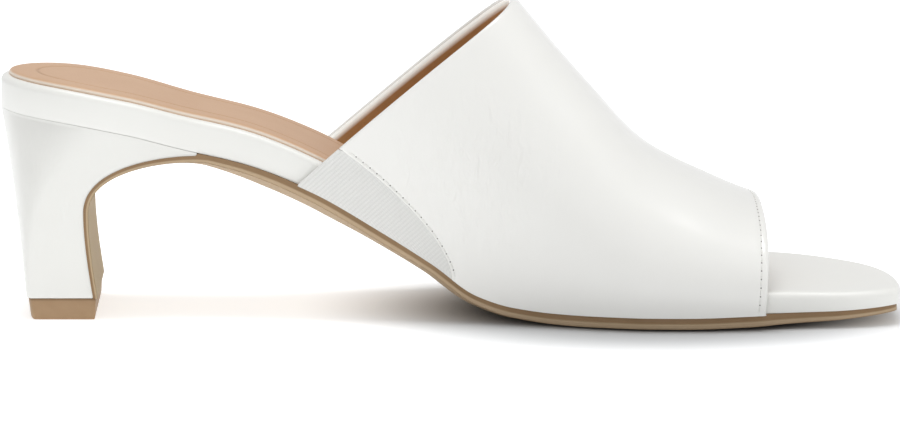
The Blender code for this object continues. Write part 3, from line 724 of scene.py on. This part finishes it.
steps = np.array([0.5, 1.0, 2.0, 3.0, 4.0, 5.5]) * MM
ring, faces, distance = folded_shell(rear_edge, front_edge, LINING_IN, LINING_FRONT, WALL - LINING_SUNK,
                                     WALL + LINING_THICK, steps, 40)
lining_tan, tree, shader, place = finish_of("lining_leather", 0.6, Sheen_Weight=0.1, Sheen_Roughness=0.5,
                                            Emission_Color=(0.92, 1.0, 0.97, 1))
tone = blend(tree, noise(tree, place, 90.0, 5.0, Roughness=0.65), (0.40, 0.19, 0.065), (0.50, 0.26, 0.10))
# The hem's white is its own colour; the soft fade into the tan deeper in is partly painted shade.
past_hem = ramp(tree, marked(tree, "below_topline"), HEM_FADES)
tree.links.new(blend(tree, past_hem, (0.90, 0.89, 0.87), tone), shader.inputs["Base Color"])
# Painted light: the hem glows faintly, brightening it where it lies in shade inside the collar.
tree.links.new(ramp(tree, past_hem, (0.0, 1.0), (HEM_PAINTED_LIGHT, 0.0)), shader.inputs["Emission Strength"])
tan_grain(tree, shader, place, 1300.0, 0.2)
make_piece("lining_leather", ring, faces, lining_tan, marks={"below_topline": distance})


# Stitching
# White thread in two rows, along the vamp's front edge and along the gore's seam. Each stitch dips into the
# needle holes at its ends.
STITCH_PITCH = 2.3 * MM
STITCH_LONG = 1.55 * MM
STITCH_DIP = 0.16 * MM
THREAD = 0.17 * MM
HOLE = 0.20 * MM
TUBE_RINGS, TUBE_SIDES = 9, 8

# Place in a pitch, half length, radius, height to width, share of the groove's depth, dip of the ends
THREAD_SHAPE = (0.0, STITCH_LONG / 2, THREAD, 1.0, 0.7, STITCH_DIP)
HOLE_SHAPE = (0.5, HOLE, HOLE, 0.35, 0.85, 0.0)


def stitches(x, turn):
    """Threads and needle holes along a line on the vamp, as short tubes. Their radius falls off as the root
    of 1 less the sixth power of the way along, and a thread's ends dip by the fourth power of it."""
    fine = vamp_face(x, turn)
    run = np.concatenate([[0], np.cumsum(np.linalg.norm(np.diff(fine, axis=0), axis=1))])
    count = int(run[-1] / STITCH_PITCH)
    at = (np.arange(count) + 0.5) * run[-1] / count
    t = np.sin(np.linspace(-np.pi / 2, np.pi / 2, TUBE_RINGS))[:, None]
    around = np.linspace(0, 2 * np.pi, TUBE_SIDES + 1)[:-1]
    points, faces, hole = [], [], []
    for shape in (THREAD_SHAPE, HOLE_SHAPE):
        offset, half_long, radius, flatness, sunk, dip = shape
        middle = at + offset * run[-1] / count
        u, v = np.interp(middle, run, x), np.interp(middle, run, turn)
        here = below_face(u, v, GROOVE_DEEP * sunk + 0 * u)
        ahead = below_face(np.interp(middle + MM, run, x), np.interp(middle + MM, run, turn),
                           GROOVE_DEEP + 0 * u) - here
        normal = below_face(u, v, -MM + 0 * u) - here
        ahead /= np.linalg.norm(ahead, axis=1, keepdims=True) + 1e-12
        normal -= ahead * np.sum(normal * ahead, 1, keepdims=True)
        normal /= np.linalg.norm(normal, axis=1, keepdims=True)
        across = np.cross(ahead, normal)
        thick = radius * np.sqrt(np.clip(1 - t ** 6, 0, 1))
        tube = np.stack([t * half_long + 0 * around, thick * np.cos(around),
                         thick * np.sin(around) * flatness - dip * t ** 4], -1)
        axes = np.stack([ahead, across, normal], 1)
        block = here[:, None, None] + np.einsum("abk,nkc->nabc", tube, axes)
        each = grid_faces(TUBE_RINGS, TUBE_SIDES, closed=True)
        first = sum(map(len, points)) + TUBE_RINGS * TUBE_SIDES * np.arange(count)
        faces += (each[None] + first[:, None, None]).reshape(-1, 4).tolist()
        points.append(block.reshape(-1, 3))
        hole.append(np.full(block.size // 3, float(shape is HOLE_SHAPE)))
    return np.concatenate(points), faces, np.concatenate(hole)


thread_white, tree, shader, place = finish_of("thread", 0.5)
strands = node(tree, "TexWave", {"Vector": place, "Scale": 900.0, "Distortion": 2.0}).outputs["Fac"]
tone = blend(tree, strands, (0.70, 0.69, 0.66), (0.80, 0.79, 0.77))
# Painted shade: the needle holes are coloured nearly black.
tree.links.new(blend(tree, marked(tree, "hole"), tone, (0.20, 0.19, 0.18)), shader.inputs["Base Color"])
bumps(tree, shader, strands, 0.3, 0.1 * MM)

x, turn, _, _ = places_between(rear_edge, front_edge, np.array([SEAM_STITCH]), np.array([FRONT_STITCH]), 1)
along_seam, along_toe = slice(1, SEAM_POINTS - 2), slice(1, -1)
for name, column, rows in (("toe_edge_stitches", -1, along_toe), ("seam_stitches", 0, along_seam)):
    points, faces, hole = stitches(x[rows, column], turn[rows, column])
    make_piece(name, points, faces, thread_white, marks={"hole": hole})


# Gore
# White ribbed elastic, let in under the vamp's seam on the medial side so that the collar can stretch. Its
# ribs run parallel to its free rear edge.
GORE_SUNK = 0.5 * MM
GORE_THICK = 1.1 * MM
GORE_REACH = 0.97           # share of the seam's height that it fills
GORE_UNDER = 0.8 * MM       # how far it reaches under the seam
GORE_HEM = 0.8 * MM         # width of the rounded rear edge, which has no ribs
RIB_PITCH = 1.0 * MM
RIB_HIGH = 0.07 * MM

share = np.linspace(0, GORE_REACH, 90)
rear_x = COLLAR_FOOT + (GORE_TOP - COLLAR_FOOT) * share
rear = [rear_x, turn_at(rear_x, collar_height(rear_x, MEDIAL))]
seam_x, _ = seam(share)
seam_z = bed_under(GORE_FOOT) + (collar_height(GORE_TOP, MEDIAL) - bed_under(GORE_FOOT)) * share
front_x = seam_x + GORE_UNDER
front = [front_x, turn_at(front_x, seam_z)]
over = np.linspace(0, 1, 380)
x, turn = (a[:, None] * (1 - over) + b[:, None] * over for a, b in zip(rear, front))
turn[0] = 0
flat = vamp_face(x, turn)[..., [0, 2]]
rear_line = flat[-1, 0] - flat[0, 0]
rear_line /= np.linalg.norm(rear_line)
from_foot = flat - flat[0, 0]
along_ribs = from_foot @ rear_line
across_ribs = from_foot @ np.array([rear_line[1], -rear_line[0]])
past_hem = np.clip(across_ribs / GORE_HEM, 0, 1)
valley = (1 - np.abs(np.sin(np.pi * across_ribs / RIB_PITCH)) ** 0.7) * past_hem
thinned = (1 - past_hem) ** 2 * GORE_THICK / 2
outer = below_face(x, turn, GORE_SUNK + RIB_HIGH * valley + thinned)
inner = below_face(x, turn, GORE_SUNK + GORE_THICK - thinned)
points = np.concatenate([outer.reshape(-1, 3), inner.reshape(-1, 3)])
size = x.size
outer_faces, inner_faces = grid_faces(*x.shape), grid_faces(*x.shape, first=size)
index = np.arange(size).reshape(x.shape)
border = np.concatenate([index[:, 0], index[-1, 1:], index[-2::-1, -1], index[0, -2::-1]])
rim = np.stack([border[:-1], border[1:], border[1:] + size, border[:-1] + size], -1)
faces = np.concatenate([outer_faces, inner_faces[:, ::-1], rim]).tolist()

elastic, tree, shader, place = finish_of("gore_elastic", 0.75, Sheen_Weight=0.3, Sheen_Roughness=0.4)
yarn_place = node(tree, "CombineXYZ", {"X": marked(tree, "across_ribs"), "Y": marked(tree, "along_ribs")})
yarns = node(tree, "TexWave", {"Vector": yarn_place.outputs["Vector"], "Scale": 640.0, "Distortion": 0.6,
                               "Detail Scale": 2.0}, bands_direction="Y").outputs["Fac"]
fluff = noise(tree, place, 1800.0, 3.0)
tone = blend(tree, fluff, (0.71, 0.71, 0.69), (0.78, 0.78, 0.76))
# Painted shade: the valleys between the ribs are coloured darker.
tree.links.new(blend(tree, marked(tree, "valley"), tone, (0.67, 0.67, 0.65)), shader.inputs["Base Color"])
bumps(tree, shader, calculate(tree, "ADD", yarns, fluff), 0.35, 0.12 * MM)
marks = {"across_ribs": across_ribs, "along_ribs": along_ribs, "valley": valley}
make_piece("gore_elastic", points, faces, elastic, "gore",
           marks={name: np.tile(values.ravel(), 2) for name, values in marks.items()})


# Outsole
# Thin tan leather sole, glued under the footbed from the toe up the waist and on down the front of the
# heel as a flap. Its underside is rounded at the waist and flat at the tread. Its upright edge is stained
# darker than the underside, and the flap's face is a little yellower.
SOLE_EDGE = 2.9 * MM
SOLE_UPRIGHT = 0.9          # share of the edge that is upright
SOLE_SOFTENED = 0.25 * MM   # how far its lower corners stand in
WAIST_CAMBER = 3.6 * MM
FLAP_THICK = 1.2 * MM
SOLE_MARGIN = 1.5 * MM
TIP_HEIGHT = 5.7 * MM
TIP_BACK = 7.6 * MM
TIP_DEPTH = 17.6 * MM
TIP_WIDTH = 50 * MM
BREAST_REACH = 56 * MM
HEEL_FLARE = 1.5
LIP = 0.5 * MM              # thinnest edge of the heel, at the top of its front
FILLED = 0.9                # share of a gap between two pieces that the shown one fills

# Sole: share of the length, shares of SOLE_MARGIN, of the thickness under the ball, of WAIST_CAMBER beyond
# that, and the share of the half width over which the underside rounds
SOLE = np.array([
    # along, margin, thick, camber, rounding
    (0.17, 0.15, 0.55, 0.45, 1.00),
    (0.24, 0.20, 0.62, 0.75, 1.00),
    (0.31, 0.25, 0.75, 1.00, 1.00),
    (0.37, 1.00, 0.80, 1.00, 1.00),
    (0.42, 1.00, 0.80, 0.80, 1.00),
    (0.50, 1.00, 0.68, 0.70, 0.80),
    (0.57, 1.00, 0.88, 0.20, 0.30),
    (0.65, 1.00, 1.00, 0.00, 0.12),
    (0.75, 1.00, 1.00, 0.00, 0.12),
    (0.83, 0.70, 1.00, 0.00, 0.12),
    (0.87, -0.10, 0.88, 0.00, 0.12),
    (0.92, -0.75, 0.76, 0.00, 0.12),
    (1.00, -0.90, 0.50, 0.00, 0.12),
])

# Front of the heel, as two cubic arcs from its foot up: shares of the way forward and of the way up
BREAST = np.array([
    # forward, up
    (0.000, 0.000),
    (-0.032, 0.156),
    (-0.080, 0.400),
    (-0.080, 0.607),
    (-0.080, 0.955),
    (0.653, 1.034),
    (1.000, 1.000),
])


def heel_side(x, z, side):
    """Half width of the heel: from its foot's to the footbed's, by a power of the height."""
    foot = TIP_HEIGHT + GAP
    up = np.clip((z - foot) / (bed_under(x) - GAP - foot), 0, 1)
    return TIP_WIDTH / 2 + (straight_side(x, side) - TIP_WIDTH / 2) * up ** HEEL_FLARE


def breast_line(share):
    """Line (x, z) of the sole's inner face down the heel's front: two cubic arcs, at shares of their length
    from the foot up."""
    foot = np.array([TIP_BACK + TIP_DEPTH, TIP_HEIGHT + GAP])
    reach = np.array([BREAST_REACH, bed_under(BREAST_REACH) - GAP])
    a, b, c, d, e, f, g = foot + BREAST * (reach - foot)
    t = np.linspace(0, 1, 200)[:, None]
    lower = a * (1 - t) ** 3 + 3 * b * t * (1 - t) ** 2 + 3 * c * t ** 2 * (1 - t) + d * t ** 3
    upper = d * (1 - t) ** 3 + 3 * e * t * (1 - t) ** 2 + 3 * f * t ** 2 * (1 - t) + g * t ** 3
    line = np.concatenate([lower, upper[1:]])
    run = np.concatenate([[0], np.cumsum(np.linalg.norm(np.diff(line, axis=0), axis=1))])
    at = np.asarray(share) * run[-1]
    return np.column_stack([np.interp(at, run, line[:, 0]), np.interp(at, run, line[:, 1])])


def floorward(line):
    """Unit normals of a line (x, z) from the heel's foot to the toe, pointing to the floor's side of it."""
    along = np.gradient(line, axis=0)
    normal = np.column_stack([along[:, 1], -along[:, 0]])
    return normal / np.linalg.norm(normal, axis=1, keepdims=True)


def capped(rows, columns):
    """Faces of a closed grid, with one flat face over each of its two ends."""
    ends = [list(range(columns)), list(range((rows - 1) * columns, rows * columns))]
    return grid_faces(rows, columns, closed=True).tolist() + ends


# The line of its inner face runs from the heel's foot up the flap and along the waist to the toe. The
# last turn is just short of a right angle, so that the last section keeps some width.
tip = LENGTH + SOLE[-1, 1] * SOLE_MARGIN
start = TOE_ROUNDING[LATERAL][0] * LENGTH
last_turn = 0.485 * np.pi
toe = start + (tip - start) * np.sin(np.linspace(0, last_turn, 60))
waist = np.linspace(BREAST_REACH, start, 130)
flap = breast_line(np.linspace(0, 1, 90))
x = np.concatenate([waist[1:-1], toe])
line = np.concatenate([flap, np.column_stack([x, bed_under(x) - GAP])])
normal = floorward(line)
line[0, 1] -= FILLED * GAP
x = line[:, 0]
margin, thick, camber, rounding = (through(SOLE, column, x / LENGTH)[:, None] for column in (1, 2, 3, 4))

# From the flap's foot (0) to its top and beyond (1): its end is level, and it thickens on its way up.
down = np.ones((len(x), 1))
down[:len(flap), 0] = np.linspace(0, 1, len(flap))
normal = normal + (np.array([1, 0]) - normal) * np.clip(1 - down * 30, 0, 1)
edge = FLAP_THICK + (SOLE_EDGE * thick - FLAP_THICK) * down
camber = (camber * WAIST_CAMBER + (TREAD_THICK - SOLE_EDGE) * thick) * down ** 2
grow = margin[:, 0] * SOLE_MARGIN
on_heel = np.arange(len(x)) < len(flap)
edges = [side * np.where(on_heel, heel_side(x, line[:, 1], side) + grow, half_width(x, side, grow))
         for side in (MEDIAL, LATERAL)]
middle, half = np.mean(edges, 0)[:, None], ((edges[1] - edges[0]) / 2)[:, None]

# A section goes down one side, over the underside, up the other side and back along the inner face. Where
# the heel has thinned to its lip, the inner face fills the room up to the footbed.
over = np.sin(np.linspace(-np.pi / 2, np.pi / 2, 61))
over = np.sign(over) * (1 - (1 - np.abs(over)) ** 0.8)
round_part = np.clip((1 - np.abs(over)) / rounding, 0, 1)
underside = edge + camber * (1 - (1 - round_part) ** 2)
room = (bed_under(x) - line[:, 1])[:, None]
against = -FILLED * room * np.clip((LIP + 1.2 * GAP - room) / (0.2 * GAP), 0, 1)
side_down = against + (SOLE_UPRIGHT * edge - against) * np.array([0.0, 0.5, 1.0])
depth = np.concatenate([side_down, underside, side_down[:, ::-1], against], 1)
half_under = half - SOLE_SOFTENED * (np.abs(over) == 1)
across = np.concatenate([-half] * 3 + [half_under * over] + [half] * 3 + [0 * half], 1)
forward, upward = (line[:, k:k + 1] + depth * normal[:, k:k + 1] for k in (0, 1))
points = np.stack([forward, middle + across, upward], -1)

# The flap's face is its outer tenth, up to where the waist begins.
deep = depth / edge
on_flap = np.clip((0.75 - down) / 0.15, 0, 1) * np.clip((deep - 0.85) / 0.1, 0, 1)

sole_tan, tree, shader, place = finish_of("sole_leather", 0.6, Specular_IOR_Level=0.2)
fibre = noise(tree, place, 70.0, 6.0, Roughness=0.6)
stain_and_shade = blend(tree, fibre, (0.215, 0.135, 0.070), (0.330, 0.215, 0.120))
bare = blend(tree, fibre, (0.43, 0.315, 0.200), (0.51, 0.385, 0.255))
tone = blend(tree, ramp(tree, marked(tree, "deep"), (0.46, 0.62)), stain_and_shade, bare)
tree.links.new(blend(tree, marked(tree, "on_flap"), tone, (0.45, 0.35, 0.21)), shader.inputs["Base Color"])
into_depth = node(tree, "CombineXYZ", {"X": marked(tree, "deep")}).outputs["Vector"]
layers = node(tree, "TexWave", {"Vector": into_depth, "Scale": 1.6, "Distortion": 0.4}, bands_direction="X")
height = calculate(tree, "ADD", layers.outputs["Fac"], noise(tree, place, 900.0, 4.0))
bumps(tree, shader, height, 0.15, 0.3 * MM)
make_piece("sole_leather", points, capped(*points.shape[:2]), sole_tan, "outsole",
           marks={"deep": deep, "on_flap": on_flap}, crease=50)


# Heel
# Moulded plastic block, covered with the same white leather: thin from the side, wide from behind, with a
# hollow back. The cover is drawn tight and turned in under the foot.
TIP_CORNER = 2.2 * MM
CORNER_SQUARE = 4.5
TIP_INSET = 0.5 * MM
TIP_TAPER = 0.5 * MM
HEEL_HOLLOW = 0.36
LEVEL_BUNCHING = 1.7        # power that gathers the levels near the top, where the front bends
COVER_ROUND = 0.5 * MM      # radius of the cover's edge round the foot
LONG_UNEVEN, LONG_UNEVEN_HIGH = 8 * MM, 0.0175 * MM
SHORT_UNEVEN, SHORT_UNEVEN_HIGH = 3 * MM, 0.0075 * MM
ROUND_LEVELS, HEEL_STEPS = 6, 60

# Levels: share of the height at the back, share of the way up the front
HEEL_LEVELS = np.array([
    # back, front
    (0.00, 0.00),
    (0.45, 0.40),
    (0.75, 0.62),
    (0.90, 0.80),
    (1.00, 1.00),
])


def heel_back(z):
    """How far the back is set in from the back of the seat: a straight rake, hollowed by a parabola."""
    up = z / (SEAT_HEIGHT - GAP)
    return TIP_BACK * (1 - up) * (1 + HEEL_HOLLOW * up)


def heel_ring(back, front, corner, square, height, side_at, draw_in=0.0):
    """Closed level of the heel: its rear corners are quarters of a superellipse, its front is straight, and
    the whole may be drawn in by a margin."""
    angle = np.linspace(0, np.pi / 2, 24)
    rounded = back + corner * (1 - np.cos(angle) ** (2 / square))
    x = np.concatenate([rounded, np.linspace(back + corner, front, 30)[1:]])
    part = np.concatenate([np.sin(angle) ** (2 / square), np.ones(len(x) - len(angle))])
    z = height(x)
    medial = np.column_stack([x, -part * (side_at(x, z, MEDIAL) - draw_in), z])
    lateral = np.column_stack([x, part * (side_at(x, z, LATERAL) - draw_in), z])
    across = np.linspace(medial[-1], lateral[-1], 21)[1:-1]
    ring = np.concatenate([medial, across, lateral[:0:-1]])
    ring[:, 0] += draw_in * (1 - 2 * (ring[:, 0] - back) / (front - back))
    return ring


# The heel's front stays just clear of the sole's flap, up to where only the lip is left. Its levels start
# with the cover's rounded edge, all at the foot.
shares = np.linspace(0, 1, 400)
line = breast_line(shares)
front_line = line - floorward(line) * GAP * 0.05
seat = bed_under(line[:, 0]) - GAP
lip = np.argmax(seat - front_line[:, 1] < LIP)
foot = TIP_HEIGHT + (1 - FILLED) * GAP
top = bed_under(0.0) - GAP - LIP
rings = []
bend = np.concatenate([np.linspace(0, np.pi / 2, ROUND_LEVELS), np.full(HEEL_STEPS - 1, np.pi / 2)])
climb = 1 - (1 - np.linspace(0, 1, HEEL_STEPS)) ** LEVEL_BUNCHING
levels = np.concatenate([np.zeros(ROUND_LEVELS), climb[1:]])
for level, draw_in, lift in zip(levels, COVER_ROUND * (1 - np.sin(bend)), COVER_ROUND * (1 - np.cos(bend))):
    share = through(HEEL_LEVELS, 1, level) * shares[lip]
    front = np.array([np.interp(share, shares, front_line[:, k]) for k in (0, 1)])
    z_back = foot + (top - foot) * level
    back = heel_back(z_back)
    corner = TIP_CORNER + (SEAT_WIDTH / 2 - TIP_CORNER) * level ** 2
    square = CORNER_SQUARE + (2 - CORNER_SQUARE) * level
    if level == 0:
        front[1] = foot
        z_back = foot

    def arch(x):
        """Height of the seat's underside above a straight line between its two ends."""
        return bed_under(x) - GAP - LIP - top - (seat[lip] - LIP - top) * x / line[lip, 0]

    def height(x):
        """Straight from back to front, bent to the seat's underside as the level nears the top."""
        forward = (x - back) / (front[0] - back)
        return (z_back + (front[1] - z_back) * forward
                + level ** 4 * (arch(x) - arch(front[0]) * forward))

    ring = heel_ring(back, front[0], corner, square, height, heel_side, draw_in)
    ring[:, 2] += lift * (level == 0)
    rings.append(ring)
rings.append(rings[-1] + [0, 0, LIP + FILLED * GAP])
rings = np.array(rings)

# The leather is uneven but for the rounded edge at the foot and the top, where it meets the footbed.
uneven = (LONG_UNEVEN_HIGH * ripple(rings, LONG_UNEVEN, 21)
          + SHORT_UNEVEN_HIGH * ripple(rings, SHORT_UNEVEN, 22)) * np.sign(rings[..., 1])
rings[ROUND_LEVELS:-3, :, 1] += uneven[ROUND_LEVELS:-3]
heel_white = white_leather("heel_leather", (0.80, 0.80, 0.77), (0.785, 0.783, 0.75), 0.34, 0.15,
                           creases=0.25, centre=(-0.002, -0.026, 0.030))
make_piece("heel_leather", rings, capped(*rings.shape[:2]), heel_white, "heel")


# Top piece
# The tan wearing tip, nailed and glued under the heel: it tapers towards the floor and has a small
# chamfer there.

# Levels: share of TIP_HEIGHT, share of TIP_TAPER
TIP_LEVELS = np.array([
    # up, taper
    (0.000, 1.00),
    (0.050, 0.55),
    (0.120, 0.35),
    (0.930, 0.00),
    (0.985, 0.25),
    (1.000, 0.80),
])
PAINTED_SHADE_FROM = (4.9 * MM, 5.5 * MM)    # heights over which the painted shade under the heel's edge begins

rings = []
for up, taper in TIP_LEVELS:
    z = up * TIP_HEIGHT
    taken_in = TIP_INSET + taper * TIP_TAPER
    half_across = TIP_WIDTH / 2 - taken_in
    rings.append(heel_ring(heel_back(z) + taken_in, TIP_BACK + TIP_DEPTH + FLAP_THICK - taken_in, TIP_CORNER,
                           CORNER_SQUARE, lambda x: np.full(len(x), z), lambda x, z, side: half_across))
rings = np.array(rings)

tip_tan, tree, shader, place = finish_of("tip_rubber", 0.5)
tone = blend(tree, noise(tree, place, 260.0, 5.0), (0.33, 0.205, 0.105), (0.42, 0.275, 0.155))
height = node(tree, "SeparateXYZ", {"Vector": place}).outputs["Z"]
# Painted shade: the top of the tip turns dark where it meets the heel's edge.
stain_and_shade = blend(tree, ramp(tree, height, PAINTED_SHADE_FROM), tone, (0.22, 0.13, 0.065))
tree.links.new(stain_and_shade, shader.inputs["Base Color"])
level_scuffs = node(tree, "Mapping", {"Vector": place, "Scale": (1.0, 1.0, 6.0)}).outputs["Vector"]
bumps(tree, shader, noise(tree, level_scuffs, 500.0, 4.0), 0.2, 0.3 * MM)
make_piece("tip_rubber", rings, capped(*rings.shape[:2]), tip_tan, "top_piece")
